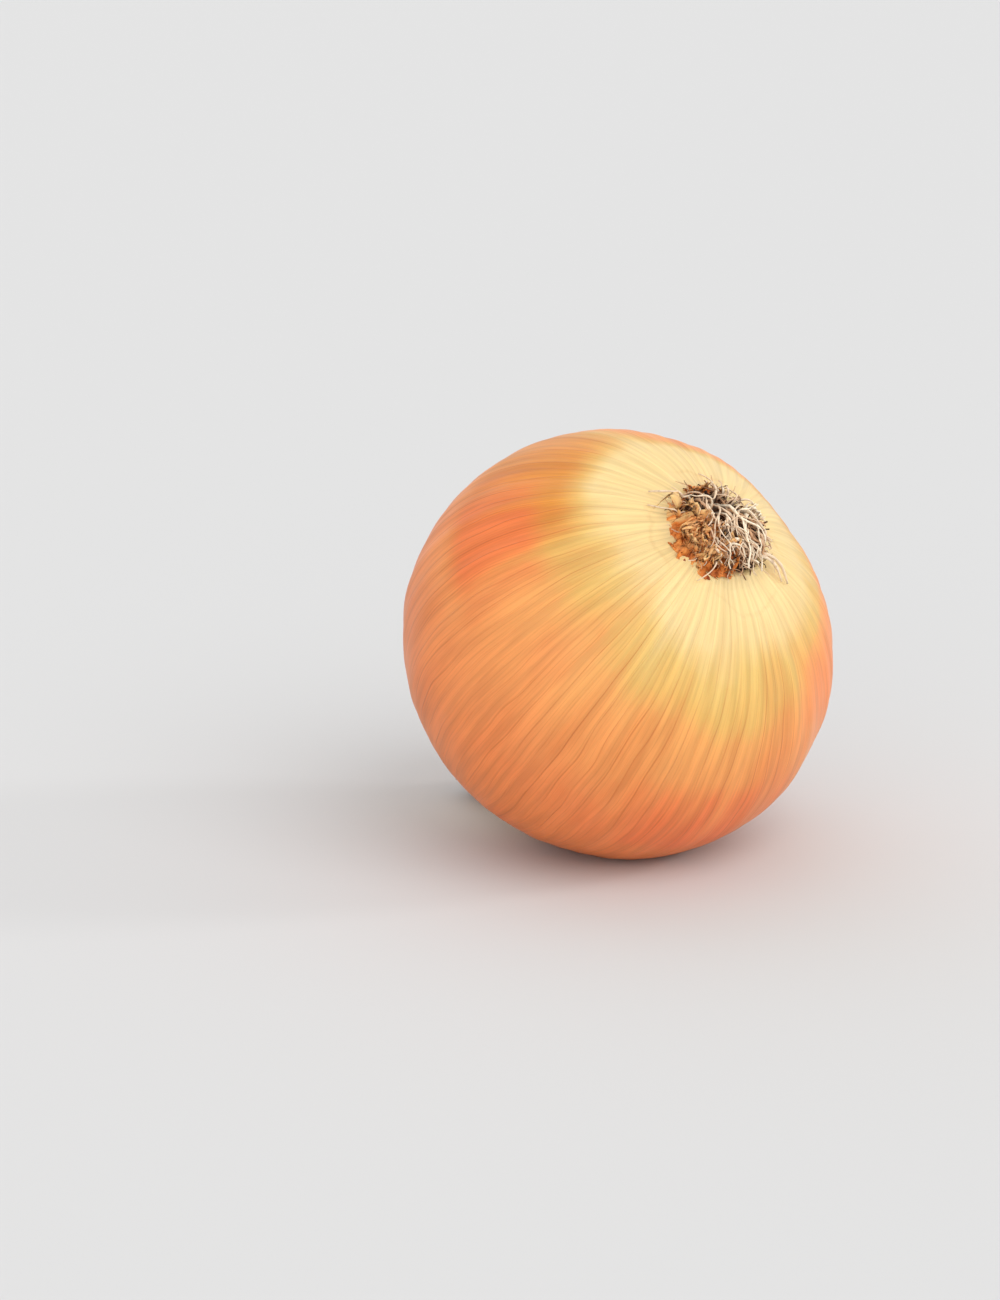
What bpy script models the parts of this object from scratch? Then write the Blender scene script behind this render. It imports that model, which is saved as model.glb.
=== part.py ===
"""A whole brown onion, lying on its shoulder with its root end raised.

Units are metres and +Z is up. The origin is the centre of the small flat spot that the bulb rests on.
The onion's own axis runs from its root plate to its neck. Each piece is modelled on that axis, with the
bulb's centre at its own origin and the neck along +Z, and an empty then turns it into the resting pose.
"""

import math
import random

import bmesh
import bpy
from mathutils import Matrix, Vector

MM = 0.001

# The bulb is a globe, a little shorter than it is wide. The widest ring is at the bulb's centre.
BULB_RADIUS = 38 * MM
BULB_HALF = 34.8 * MM  # from the widest ring to where either end would close, if it had no root or neck
FLAT_DEPTH = 1.1 * MM  # how far the flat spot is pressed into the round bulb

# How it lies: the root end points up and forward to the right, and the neck comes to the table behind.
ROOT_LIFT = math.radians(46.5)
ROOT_HEADING = math.radians(-48)

SEGMENTS = 56
ROOT_PLATE_RADIUS = 8.0 * MM
ROOT_PLATE_THICKNESS = 2.6 * MM
ROOT_RIM_RADIUS = 9.2 * MM  # where the skin turns in to the recess that the root plate fills
ROOT_RECESS = 1.6 * MM
SHOULDER_RADIUS = 15 * MM  # where the round bulb turns into the drawn-in neck
NECK_RADIUS = 6.8 * MM
NECK_BASE = 37.6 * MM  # from the bulb's centre along its axis
NECK_LENGTH = 12 * MM
NECK_TIP_HALF_WIDTH = 7.2 * MM
NECK_TIP_HALF_THICKNESS = 2.5 * MM
GAP = 0.35 * MM  # between neighbouring solids

ROOT_COUNT = 26
ROOT_THICKNESS = 1.1 * MM
STRAY_ROOT = 20  # the one that reaches far out over the skin, counted from the middle
LONGEST_ROOT = 14.5 * MM  # how far one stray root reaches from the middle of the plate
SKIN_CLEARANCE = 0.6 * MM


def clear_scene():
    for item in list(bpy.data.objects):
        bpy.data.objects.remove(item)


def plain_material(name, colour, roughness):
    made = bpy.data.materials.new(name)
    made.use_nodes = True
    shader = made.node_tree.nodes["Principled BSDF"]
    shader.inputs["Base Color"].default_value = (*colour, 1)
    shader.inputs["Roughness"].default_value = roughness
    shader.inputs["Metallic"].default_value = 0
    return made


def object_from(bm, name, material, parent):
    mesh = bpy.data.meshes.new(name)
    bmesh.ops.recalc_face_normals(bm, faces=bm.faces)
    bm.to_mesh(mesh)
    bm.free()
    mesh.shade_smooth()
    mesh.set_sharp_from_angle(angle=math.radians(40))
    if material:
        mesh.materials.append(material)
    made = bpy.data.objects.new(name, mesh)
    made.parent = parent
    bpy.context.scene.collection.objects.link(made)
    return made


def resting_frame():
    """The empty that carries the onion: its origin is the bulb's centre, and its +Z runs to the neck.

    Half an ellipsoid lies on the table. Its lowest point, when tilted, is (BULB_RADIUS**2 * cosine,
    BULB_HALF**2 * sine) / support from its centre, across and along the onion's axis.
    """
    sine, cosine = math.sin(ROOT_LIFT), math.cos(ROOT_LIFT)
    support = math.hypot(BULB_RADIUS * cosine, BULB_HALF * sine)
    overhang = (BULB_RADIUS**2 - BULB_HALF**2) * sine * cosine / support
    heading = Vector((math.cos(ROOT_HEADING), math.sin(ROOT_HEADING), 0))
    made = bpy.data.objects.new("onion_axis", None)
    made.location = -heading * overhang + Vector((0, 0, support - FLAT_DEPTH))
    to_neck = -heading * cosine + Vector((0, 0, -sine))
    downhill = heading * sine + Vector((0, 0, -cosine))  # square to the axis, towards the table
    sideways = to_neck.cross(downhill)
    made.rotation_euler = Matrix((downhill, sideways, to_neck)).transposed().to_euler()
    bpy.context.scene.collection.objects.link(made)
    bpy.context.view_layer.update()
    return made


def ellipse_height(radius):
    """How far the round bulb's surface is from its widest ring, at a distance from the axis."""
    return BULB_HALF * math.sqrt(1 - (radius / BULB_RADIUS) ** 2)


def turned(bm, profile, steps):
    """Spins a profile of (radius, height) points, which starts and ends on the axis, into a closed body."""
    corners = [bm.verts.new((radius, 0, height)) for radius, height in profile]
    edges = [bm.edges.new(pair) for pair in zip(corners, corners[1:])]
    geometry = corners + edges
    bmesh.ops.spin(bm, geom=geometry, cent=(0, 0, 0), axis=(0, 0, 1), angle=math.tau, steps=steps)
    bmesh.ops.remove_doubles(bm, verts=bm.verts, dist=0.001 * MM)


def bulb_profile():
    """(radius, height) from the middle of the root recess, round the bulb, to the middle of its cut top."""
    recess = -ellipse_height(ROOT_RIM_RADIUS) + ROOT_RECESS
    profile = [(0, recess), (ROOT_PLATE_RADIUS, recess)]
    first = math.asin(ROOT_RIM_RADIUS / BULB_RADIUS)
    last = math.pi - math.asin(SHOULDER_RADIUS / BULB_RADIUS)
    steps = 24
    for step in range(steps + 1):
        angle = first + (last - first) * step / steps
        profile.append((BULB_RADIUS * math.sin(angle), -BULB_HALF * math.cos(angle)))
    # The shoulder draws in to the neck along a curve that leaves the bulb and meets the neck without a kink.
    start = Vector(profile[-1])
    slope = (BULB_HALF / BULB_RADIUS) ** 2 * start[0] / start[1]
    corner = Vector((NECK_RADIUS, start[1] + slope * (start[0] - NECK_RADIUS)))
    end = Vector((NECK_RADIUS, NECK_BASE))
    steps = 6
    for step in range(1, steps + 1):
        share = step / steps
        profile.append(tuple(start.lerp(corner, share).lerp(corner.lerp(end, share), share)))
    profile.append((0, NECK_BASE))
    return profile


def lobed(point):
    """The bulb isn't quite round: three low swellings run from pole to pole."""
    around = math.atan2(point.y, point.x)
    swell = 1 + 0.006 * math.cos(2 * around + 0.7) + 0.005 * math.cos(3 * around + 2.0)
    return Vector((point.x * swell, point.y * swell, point.z))


def make_bulb(axis, material):
    bm = bmesh.new()
    turned(bm, bulb_profile(), SEGMENTS)
    for vert in bm.verts:
        vert.co = lobed(vert.co)
    # The table, as the onion's own frame sees it, slices off the flat spot.
    to_onion = axis.matrix_world.inverted()
    table_up = to_onion.to_3x3() @ Vector((0, 0, 1))
    whole = bm.verts[:] + bm.edges[:] + bm.faces[:]
    table = to_onion.translation
    cut = bmesh.ops.bisect_plane(bm, geom=whole, plane_co=table, plane_no=table_up, clear_inner=True)
    rim = [part for part in cut["geom_cut"] if isinstance(part, bmesh.types.BMEdge)]
    bmesh.ops.edgenet_fill(bm, edges=rim)
    return object_from(bm, "bulb", material, axis)


def neck_stations():
    """(centre, direction, half width, half thickness) along the neck, in the world, from the bulb to the tip.

    The dry neck leaves along the onion's axis and bends until it lies on the table, flattened by the weight.
    """
    axis = bpy.data.objects["onion_axis"].matrix_world
    to_neck = axis.to_3x3() @ Vector((0, 0, 1))
    level = Vector((to_neck.x, to_neck.y, 0)).normalized()
    centre = axis @ Vector((0, 0, NECK_BASE + GAP))
    steps = 9
    stations = []
    for step in range(steps + 1):
        share = step / steps
        dip = math.radians(4) + (ROOT_LIFT - math.radians(4)) * (1 - share) ** 1.7
        direction = level * math.cos(dip) + Vector((0, 0, -math.sin(dip)))
        ease = share * share * (3 - 2 * share)
        waist = 1 - 0.10 * math.sin(math.pi * share)
        half_width = waist * (NECK_RADIUS + (NECK_TIP_HALF_WIDTH - NECK_RADIUS) * ease)
        half_thickness = waist * (NECK_RADIUS + (NECK_TIP_HALF_THICKNESS - NECK_RADIUS) * ease)
        stations.append((centre.copy(), direction, half_width, half_thickness))
        centre += direction * (NECK_LENGTH / steps)
    return stations


def make_neck(axis, material):
    bm = bmesh.new()
    to_onion = axis.matrix_world.inverted()
    stations = neck_stations()
    rings = []
    for centre, direction, half_width, half_thickness in stations:
        side = direction.cross(Vector((0, 0, 1))).normalized()
        over = side.cross(direction)
        turn = Matrix((side, over, direction)).transposed().to_4x4()
        size = Matrix.Diagonal((half_width, half_thickness, 1, 1))
        place = to_onion @ Matrix.Translation(centre) @ turn @ size
        capped = len(rings) in (0, len(stations) - 1)
        ring = bmesh.ops.create_circle(bm, cap_ends=capped, segments=24, radius=1, matrix=place)
        rings.append([edge for edge in bm.edges if all(end in ring["verts"] for end in edge.verts)])
    for near, far in zip(rings, rings[1:]):
        bmesh.ops.bridge_loops(bm, edges=near + far)
    return object_from(bm, "dry_neck", material, axis)


def root_path(number, front, chance):
    """Points along one root, from inside the root plate up and over onto the skin."""
    around = number * math.radians(137.5)
    share = (number + 0.5) / ROOT_COUNT
    start = 0.86 * ROOT_PLATE_RADIUS * math.sqrt(share)
    reach = LONGEST_ROOT if number == STRAY_ROOT else start + chance.uniform(1.5, 4.5) * MM
    rise = (4.4 - 2.4 * share) * MM + chance.uniform(0, 0.8) * MM
    drift = math.radians(chance.uniform(-50, 50))
    points = [(start * math.cos(around), start * math.sin(around), front + ROOT_THICKNESS)]
    steps = 7
    for step in range(1, steps + 1):
        along = step / steps
        radius = start + (reach - start) * along**1.4
        turn = around + drift * along**1.5
        on_skin = -ellipse_height(radius) - ROOT_THICKNESS / 2 - SKIN_CLEARANCE
        height = on_skin - rise * math.sin(math.pi * along**0.8)
        points.append((radius * math.cos(turn), radius * math.sin(turn), height))
    return points


def make_strands(axis, front):
    """The dried roots as closed tubes. A Boolean adds them to the plate, so they stay hidden themselves."""
    chance = random.Random(7)
    curve = bpy.data.curves.new("root_strands", "CURVE")
    curve.dimensions = "3D"
    curve.bevel_depth = ROOT_THICKNESS / 2
    curve.bevel_resolution = 1
    curve.use_fill_caps = True
    curve.resolution_u = 1
    for number in range(ROOT_COUNT):
        path = root_path(number, front, chance)
        spline = curve.splines.new("POLY")
        spline.points.add(len(path) - 1)
        for point, place in zip(spline.points, path):
            point.co = (*place, 1)
    tubes = bpy.data.objects.new("root_tubes", curve)
    bpy.context.scene.collection.objects.link(tubes)
    bm = bmesh.new()
    bm.from_mesh(tubes.to_mesh())
    bpy.data.objects.remove(tubes)
    bmesh.ops.remove_doubles(bm, verts=bm.verts, dist=0.001 * MM)
    strands = object_from(bm, "root_strands", None, axis)
    strands.hide_render = True
    strands.display_type = "WIRE"
    return strands


def make_root_tuft(axis, material):
    """The root plate with its mat of dried roots, joined into one solid."""
    back = -ellipse_height(ROOT_RIM_RADIUS) + ROOT_RECESS - GAP
    front = back - ROOT_PLATE_THICKNESS
    edge = ROOT_PLATE_RADIUS - GAP
    bevel = 0.8 * MM
    outline = [(0, back), (edge, back), (edge, front + bevel), (edge - bevel, front), (0, front)]
    bm = bmesh.new()
    turned(bm, outline, 32)
    tuft = object_from(bm, "root_tuft", material, axis)
    join = tuft.modifiers.new("join_roots", "BOOLEAN")
    join.operation = "UNION"
    join.solver = "EXACT"
    join.use_self = True
    join.object = make_strands(axis, front)
    return tuft


clear_scene()
onion_axis = resting_frame()
make_bulb(onion_axis, plain_material("onion_skin", (0.62, 0.27, 0.075), 0.42))
make_neck(onion_axis, plain_material("dry_leaf", (0.62, 0.42, 0.20), 0.75))
make_root_tuft(onion_axis, plain_material("dried_root", (0.30, 0.20, 0.12), 0.85))
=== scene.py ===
"""The looks of a whole brown onion, lying on its shoulder with its root end raised."""

import math

import bpy
import numpy as np
from mathutils import Matrix, Vector, noise


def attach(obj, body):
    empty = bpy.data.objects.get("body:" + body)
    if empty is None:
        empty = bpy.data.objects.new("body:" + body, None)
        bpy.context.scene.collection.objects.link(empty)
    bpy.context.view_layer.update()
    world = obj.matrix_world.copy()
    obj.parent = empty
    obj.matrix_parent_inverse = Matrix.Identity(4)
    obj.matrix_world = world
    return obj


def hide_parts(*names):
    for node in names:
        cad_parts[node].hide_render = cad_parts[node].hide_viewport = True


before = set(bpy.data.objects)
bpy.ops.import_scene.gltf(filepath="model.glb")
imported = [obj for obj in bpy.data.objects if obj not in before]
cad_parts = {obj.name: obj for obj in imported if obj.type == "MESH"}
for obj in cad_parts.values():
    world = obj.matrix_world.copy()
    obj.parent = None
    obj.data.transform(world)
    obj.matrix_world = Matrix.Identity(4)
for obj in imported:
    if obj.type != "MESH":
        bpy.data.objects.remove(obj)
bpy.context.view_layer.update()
bpy.ops.object.select_all(action="DESELECT")
MM = 0.001

# ---------------------------------------------------------------------------------- the bulb's skin
# The bulb is a globe of fleshy scales inside dry skins. The skin that shows is thin, tight and satiny,
# ribbed from root to neck by the scales under it. It dips at the root end and draws in to pleats at the
# neck, where it goes on as the neck's outer tube, up to a ragged rim.
BULB_RADIUS = 38 * MM
BULB_HALF = 34.8 * MM
FLAT_DEPTH = 1.1 * MM
ROOT_LIFT = math.radians(46.5)
ROOT_HEADING = math.radians(-48)
ROOT_RIM = 9.2 * MM
ROOT_DIP = 1.3 * MM
DIP_WIDTH = 2.4 * MM
SHOULDER_RADIUS = 15 * MM
NECK_RADIUS = 6.8 * MM
NECK_FOOT = 37.6 * MM
NECK_LENGTH = 12 * MM
NECK_TIP_HALF_WIDTH = 7.2 * MM
NECK_TIP_HALF_THICKNESS = 2.5 * MM
NECK_TIP_DIP = math.radians(4)  # the neck bends up until it is nearly level
NECK_BEND = 1.7
NECK_WAIST = 0.10
NECK_STEP = 0.4 * MM
NECK_STEPS = 46
WORN_REACH = 14.2 * MM  # how far from the root's middle the outermost skin has worn away
WORN_DEPTH = 0.13  # mm
SKIN_THICKNESS = 0.22 * MM
SKIN_COLUMNS = 384
SKIN_ROWS = 250
OUTSIDE_SHARE = 0.95  # of the rows, from the root on; the rest go down inside the neck
INSIDE_FROM = 0.955
RIM_PAST_FOOT = 6.6 * MM
NECK_TEETH = ((5, 1.6 * MM), (21, 1.1 * MM), (64, 0.6 * MM))  # how many round the rim, and how high

# Waves in the skin's surface: height in mm, how many there are round the bulb, and length.
FACETS = (0.55, 9, 70 * MM)
RIBS = (0.30, 28, 50 * MM)
FINE_RIBS = (0.20, 80, 40 * MM)
PLEATS = (1.15, 16, 22 * MM)
FINE_PLEATS = (0.5, 46, 14 * MM)
PUCKERS = (0.34, 22, 9 * MM)
FINE_PUCKERS = (0.16, 60, 6 * MM)
DENT_DEPTH = 0.22  # mm
DENT_SIZE = 13 * MM
RIBS_RUN_IN = 16 * MM  # the ribs rise over this length at the root end and sink over it at the neck
PLEATS_RUN_IN = 17 * MM
PUCKERS_FROM = 4 * MM
PUCKERS_TO = 17 * MM
OVAL = 0.006  # how far the bulb is from round, two ways and three, as shares of its radius
LOBED = 0.005
# A thin darker line along the worn step: a brown edge, and painted shadow of the step.
WORN_LINE_AND_SHADOW = 0.20


def lying_onion():
    """The turn from the onion's own frame to how the onion lies.

    The own frame has the bulb's centre at its origin and the neck along +Z.
    """
    sine, cosine = math.sin(ROOT_LIFT), math.cos(ROOT_LIFT)
    support = math.hypot(BULB_RADIUS * cosine, BULB_HALF * sine)
    overhang = (BULB_RADIUS**2 - BULB_HALF**2) * sine * cosine / support
    heading = Vector((math.cos(ROOT_HEADING), math.sin(ROOT_HEADING), 0))
    centre = -heading * overhang + Vector((0, 0, support - FLAT_DEPTH))
    to_neck = -heading * cosine + Vector((0, 0, -sine))
    downhill = heading * sine + Vector((0, 0, -cosine))
    turn = Matrix((downhill, to_neck.cross(downhill), to_neck)).transposed()
    return Matrix.Translation(centre) @ turn.to_4x4()


LYING = lying_onion()


def eased(share):
    """0 below 0, 1 above 1, and a smooth rise between."""
    share = np.clip(share, 0, 1)
    return share * share * (3 - 2 * share)


def meridian():
    """Length, radius and height along a line of the skin, from the root's middle to the neck's foot."""
    turn = np.linspace(0, math.pi - math.asin(SHOULDER_RADIUS / BULB_RADIUS), 500)
    radius, height = BULB_RADIUS * np.sin(turn), -BULB_HALF * np.cos(turn)
    height += ROOT_DIP * eased((ROOT_RIM - radius) / DIP_WIDTH) * (turn < math.pi / 2)
    start = np.array((radius[-1], height[-1]))
    slope = (BULB_HALF / BULB_RADIUS) ** 2 * start[0] / start[1]
    corner = np.array((NECK_RADIUS, start[1] + slope * (start[0] - NECK_RADIUS)))
    foot = np.array((NECK_RADIUS, NECK_FOOT))
    share = np.linspace(0, 1, 80)[1:, None]
    curve = start * (1 - share) ** 2 + 2 * corner * share * (1 - share) + foot * share**2
    radius, height = np.append(radius, curve[:, 0]), np.append(height, curve[:, 1])
    length = np.append(0, np.cumsum(np.hypot(np.diff(radius), np.diff(height))))
    return length, radius, height


LENGTH, RADIUS, HEIGHT = meridian()
FOOT = LENGTH[-1]
GIRTH = np.interp(0, HEIGHT, LENGTH)  # where the bulb is widest, measured from the root


def neck_line():
    """Rows along the neck: distance past its foot, centre, over and side directions, half sizes."""
    to_own = LYING.inverted()
    to_neck = LYING.to_3x3() @ Vector((0, 0, 1))
    level = Vector((to_neck.x, to_neck.y, 0)).normalized()
    centre = LYING @ Vector((0, 0, NECK_FOOT))
    turn = to_own.to_3x3()
    rows = []
    for index in range(NECK_STEPS):
        past = index * NECK_STEP
        share = min(past / NECK_LENGTH, 1)
        dip = NECK_TIP_DIP + (ROOT_LIFT - NECK_TIP_DIP) * (1 - share) ** NECK_BEND
        direction = level * math.cos(dip) + Vector((0, 0, -math.sin(dip)))
        side = direction.cross(Vector((0, 0, 1))).normalized()
        over = side.cross(direction)
        ease = float(eased(share))
        waist = 1 - NECK_WAIST * math.sin(math.pi * share)
        thickness = (NECK_RADIUS + (NECK_TIP_HALF_THICKNESS - NECK_RADIUS) * ease) * waist
        width = (NECK_RADIUS + (NECK_TIP_HALF_WIDTH - NECK_RADIUS) * ease) * waist
        rows.append((past, *(to_own @ centre), *(turn @ over), *(turn @ side), thickness, width))
        centre = centre + direction * NECK_STEP
    return np.array(rows)


NECK = neck_line()


def ripples(around, along, count, stretch, shift=0.0):
    """Smooth noise in streaks that run from root to neck, about `count` of them round the bulb."""
    reach = count / math.tau
    points = np.stack((np.cos(around) * reach, np.sin(around) * reach, along / stretch + shift), axis=-1)
    return np.array([noise.noise(point) for point in points.reshape(-1, 3)]).reshape(np.shape(around))


def waves(sizes, around, along, shift=0.0):
    height, count, stretch = sizes
    return height * ripples(around, along, count, stretch, shift)


def worn_edge(along, around):
    """Where the outermost skin has worn away, round the root.

    It gives 0 there and 1 outside, the line between, and how clear the edge is.
    """
    turn = np.stack((np.cos(around), np.sin(around)), axis=-1).reshape(-1, 2)
    wave, tear, clear = (
        np.array([noise.noise((x * reach, y * reach, seed)) for x, y in turn]).reshape(np.shape(around))
        for reach, seed in ((1.7, 4), (8, 9), (1.3, 15))
    )
    clear = eased(0.35 + 2.2 * clear)
    from_edge = along - WORN_REACH - (wave * 3.6 + tear * 0.7) * MM
    line = clear * np.exp(-((from_edge / (0.3 * MM)) ** 2))
    return eased(0.5 + from_edge / (0.5 * MM)), line, clear


def relief(around, along):
    """How far the skin stands out of the plain bulb: ribs, pleats at the neck, puckers at the root."""
    radius = np.interp(along, LENGTH, RADIUS)
    body = eased(along / RIBS_RUN_IN) * (1 - 0.6 * eased((along - FOOT + RIBS_RUN_IN) / RIBS_RUN_IN))
    to_neck = eased((along - FOOT + PLEATS_RUN_IN) / PLEATS_RUN_IN)
    to_root = eased((PUCKERS_TO - along) / (8 * MM)) * eased((along - PUCKERS_FROM) / (4 * MM))
    tight = 0.2 + 0.8 * radius / BULB_RADIUS  # the ribs grow flatter as they draw together
    swirl = around + 0.5 * to_neck + 1.2 * np.maximum(along - FOOT, 0) / NECK_LENGTH
    height = body * waves(FACETS, around, along)
    height += body * tight * waves(RIBS, around, along, 5)
    height += body * tight * waves(FINE_RIBS, around, along, 9)
    height += to_neck * (waves(PLEATS, swirl, along, 3) + waves(FINE_PLEATS, swirl, along, 7))
    height += to_root * (waves(PUCKERS, around, along, 2) + waves(FINE_PUCKERS, around, along, 4))
    spots = np.stack((radius * np.cos(around), radius * np.sin(around), along), axis=-1) / DENT_SIZE
    dents = np.array([noise.noise(spot) for spot in spots.reshape(-1, 3)]).reshape(np.shape(around))
    height += DENT_DEPTH * body * dents
    kept, _, clear = worn_edge(along, around)
    height -= WORN_DEPTH * clear * (1 - kept)
    return height * MM


def skin_at(around, along, raised=0.0):
    """Points of the onion's outside, in its own frame.

    They are given by an angle round its axis, a length from the root's middle towards the neck and on
    along it, and a height off the skin.
    """
    radius, height = np.interp(along, LENGTH, RADIUS), np.interp(along, LENGTH, HEIGHT)
    swell = 1 + OVAL * np.cos(2 * around + 0.7) + LOBED * np.cos(3 * around + 2.0)
    tangent_r, tangent_h = np.gradient(RADIUS, LENGTH), np.gradient(HEIGHT, LENGTH)
    out, up = np.interp(along, LENGTH, tangent_h), -np.interp(along, LENGTH, tangent_r)
    proud = relief(around, along) + raised
    radius = radius * swell + proud * out
    points = np.stack((radius * np.cos(around), radius * np.sin(around), height + proud * up), axis=-1)
    past = np.maximum(along - FOOT, 0)
    spine = [np.interp(past, NECK[:, 0], NECK[:, column]) for column in range(1, 12)]
    centre, over, side = (np.stack(spine[first : first + 3], axis=-1) for first in (0, 3, 6))
    thick, wide = np.maximum(spine[9] + proud, 0), np.maximum(spine[10] + proud, 0)
    on_neck = centre - over * (thick * np.cos(around))[..., None]
    on_neck -= side * (wide * np.sin(around))[..., None]
    return np.where((along > FOOT)[..., None], on_neck, points)


def mesh_points(piece):
    points = np.empty(len(piece.data.vertices) * 3)
    piece.data.vertices.foreach_get("co", points)
    return points.reshape(-1, 3)


def lay_down(piece, points, floor=0.0):
    """Gives the piece its points, turned to how the onion lies, with none under the table."""
    turn = np.array(LYING)
    points = points @ turn[:3, :3].T + turn[:3, 3]
    points[:, 2] = np.maximum(points[:, 2], floor)
    piece.data.vertices.foreach_set("co", points.ravel())
    piece.data.update()


def mark_skin(piece, around, along, torn):
    """Keeps each point's place on the skin, which the streaks follow, and how near a torn edge it is."""
    place = piece.data.attributes.new("skin_place", "FLOAT_VECTOR", "POINT")
    values = np.stack((np.cos(around), np.sin(around), along / MM), axis=-1)
    place.data.foreach_set("vector", values.astype(np.float32).ravel())
    edge = piece.data.attributes.new("torn", "FLOAT", "POINT")
    edge.data.foreach_set("value", np.broadcast_to(torn, around.shape).astype(np.float32))


def jagged(across, seed, sizes):
    """A torn edge's line, from counts and heights: a soft wave first, then rows of sharp teeth."""
    line = np.zeros(np.shape(across))
    for layer, (count, height) in enumerate(sizes):
        wave = np.array([noise.noise((x * count, seed + 7.3 * layer, 0)) for x in across])
        line += height * (1 - 2 * np.abs(wave)) if layer else height * 2 * wave
    return line


def jagged_ring(around, seed, sizes):
    """The same round a ring, with no seam."""
    line = np.zeros(np.shape(around))
    for layer, (count, height) in enumerate(sizes):
        ring = np.stack((np.cos(around), np.sin(around)), axis=-1) * count / math.tau
        wave = np.array([noise.noise((x, y, seed + 7.3 * layer)) for x, y in ring])
        line += height * (1 - 2 * np.abs(wave)) if layer else height * 2 * wave
    return line


bpy.ops.mesh.primitive_uv_sphere_add(segments=SKIN_COLUMNS, ring_count=SKIN_ROWS, radius=BULB_RADIUS)
bulb_skin = bpy.context.object
bulb_skin.name = "bulb_skin"
ball = mesh_points(bulb_skin) / BULB_RADIUS
around = np.arctan2(ball[:, 1], ball[:, 0])
share = np.arccos(np.clip(-ball[:, 2], -1, 1)) / math.pi
up_outside = np.minimum(share / OUTSIDE_SHARE, 1)
down_inside = np.clip((share - INSIDE_FROM) / (1 - INSIDE_FROM), 0, 1)
rim = FOOT + RIM_PAST_FOOT + jagged_ring(around, 5.1, NECK_TEETH)
along = (up_outside - 0.07 * np.sin(math.tau * up_outside)) * rim  # rows lie closer at both ends
along += (FOOT - rim) * down_inside**0.7
sunk = -SKIN_THICKNESS * (share > OUTSIDE_SHARE + 0.001) - NECK_RADIUS * down_inside**2
skin_points = skin_at(around, along, sunk)
torn = np.exp(-np.abs(rim - along) / (0.5 * MM)) * (share > 0.5)
# The worn step's line is tinted darker: a brown edge, and painted shadow of the step.
torn += WORN_LINE_AND_SHADOW * worn_edge(along, around)[1]
mark_skin(bulb_skin, around, along, torn)
lay_down(bulb_skin, skin_points)
bpy.ops.object.shade_smooth()


def paint(red, green, blue):
    """A colour as a screen shows it, 0 to 255, turned to the linear light that a shader takes."""
    shares = [value / 255 for value in (red, green, blue)]
    return (*(s / 12.92 if s <= 0.04045 else ((s + 0.055) / 1.055) ** 2.4 for s in shares), 1)


def node(tree, kind, values=None, **settings):
    """A shader node. Each value is a number, a colour or another node's output."""
    made = tree.nodes.new("ShaderNode" + kind)
    for name, setting in settings.items():
        setattr(made, name, setting)
    for socket, value in (values or {}).items():
        if isinstance(value, bpy.types.NodeSocket):
            tree.links.new(value, made.inputs[socket])
        else:
            made.inputs[socket].default_value = value
    return made


def sums(tree, operation, first, second=0.0, third=0.0):
    return node(tree, "Math", {0: first, 1: second, 2: third}, operation=operation).outputs[0]


def between(tree, value, low, high, to_low=0.0, to_high=1.0):
    """The value's place between low and high, eased and clamped."""
    spread = {"Value": value, "From Min": low, "From Max": high, "To Min": to_low, "To Max": to_high}
    return node(tree, "MapRange", spread, interpolation_type="SMOOTHSTEP").outputs[0]


def mixed(tree, share, first, second):
    return node(tree, "Mix", {0: share, 6: first, 7: second}, data_type="RGBA").outputs[2]


def shaded(tree, colour, strength):
    """The colour made darker or lighter by a strength near 1."""
    grey = node(tree, "CombineColor", {0: strength, 1: strength, 2: strength}).outputs[0]
    both = {0: 1.0, 6: colour, 7: grey}
    return node(tree, "Mix", both, data_type="RGBA", blend_type="MULTIPLY").outputs[2]


def colour_band(tree, value, stops):
    band = node(tree, "ValToRGB", {"Fac": value})
    keys = band.color_ramp.elements
    while len(keys) < len(stops):
        keys.new(0.5)
    for key, (place, colour) in zip(keys, stops):
        key.position, key.color = place, colour
    return band.outputs["Color"]


def streaks(tree, place, count, stretch, detail=3.0, shift=0.0):
    """Noise drawn out along the veins: about `count` streaks round the bulb, `stretch` mm long."""
    reach = count / math.tau
    spread = {0: place, 1: (reach, reach, 1 / stretch), 2: (0, 0, shift)}
    drawn = node(tree, "VectorMath", spread, operation="MULTIPLY_ADD").outputs[0]
    return node(tree, "TexNoise", {"Vector": drawn, "Scale": 1.0, "Detail": detail}).outputs[0]


def veins(tree, place, count, wander, width):
    """Thin lines from root to neck that wander a little: 1 on a line, 0 off it. The count is even."""
    parts = node(tree, "SeparateXYZ", {0: place}).outputs
    turn = sums(tree, "ARCTAN2", parts[1], parts[0])
    phase = sums(tree, "MULTIPLY", streaks(tree, place, 14, 26, 2), wander)
    wave = sums(tree, "MULTIPLY_ADD", turn, count / 2, phase)
    return between(tree, sums(tree, "ABSOLUTE", sums(tree, "SINE", wave)), 0, width, 1, 0)


def clouds(tree, size, detail=4.0):
    """Soft patches, about so many mm across."""
    place = node(tree, "TexCoord").outputs["Object"]
    spread = {"Vector": place, "Scale": 1 / (size * MM), "Detail": detail}
    return node(tree, "TexNoise", spread).outputs[0]


def new_material(name):
    made = bpy.data.materials.new(name)
    made.use_nodes = True
    return made, made.node_tree, made.node_tree.nodes["Principled BSDF"]


def papery(shader, weight):
    """Dry skin lets a little light through, and shines softly."""
    shader.inputs["Subsurface Weight"].default_value = weight
    shader.inputs["Subsurface Radius"].default_value = (1.0, 0.45, 0.2)
    shader.inputs["Subsurface Scale"].default_value = 1.5 * MM
    shader.inputs["Specular IOR Level"].default_value = 0.25


NECK_STRAW = paint(234, 194, 136)
NECK_BROWN = paint(204, 118, 54)
NECK_PALE = paint(250, 224, 184)


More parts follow.
